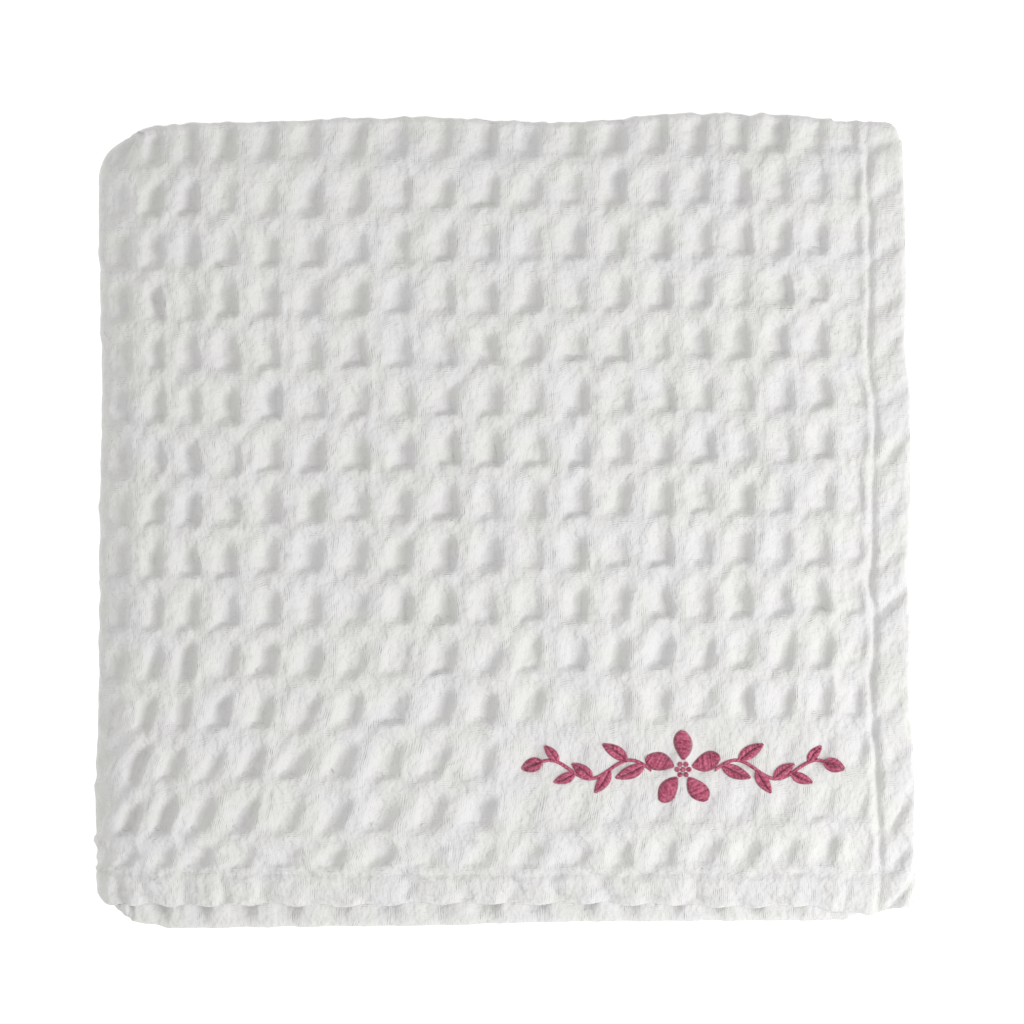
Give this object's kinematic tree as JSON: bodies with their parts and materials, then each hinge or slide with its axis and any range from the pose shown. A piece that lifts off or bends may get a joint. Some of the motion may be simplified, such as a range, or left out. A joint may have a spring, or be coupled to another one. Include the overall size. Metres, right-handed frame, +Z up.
{
  "type": "folded waffle weave cotton blanket",
  "caption": "White waffle weave cotton blanket, folded in thirds and then in half into a flat square with a soft rolled side, stitched hems and a small rose sprig in satin stitch.",
  "frame": {"origin": "on the flat underside, under the middle of the folded blanket", "axes": "+X from the rolled side to the free side hems, +Y from the front hem to the back fold, +Z up out of the top layer"},
  "size_m": [0.3051, 0.3029, 0.0243],
  "materials": {
    "white_cotton": "washed waffle weave, matt",
    "white_thread": "sewing thread, matt",
    "rose_thread": "satin stitch thread, soft sheen"
  },
  "bodies": {
    "root": {"blanket": "white_cotton"}
  },
  "joints": []
}
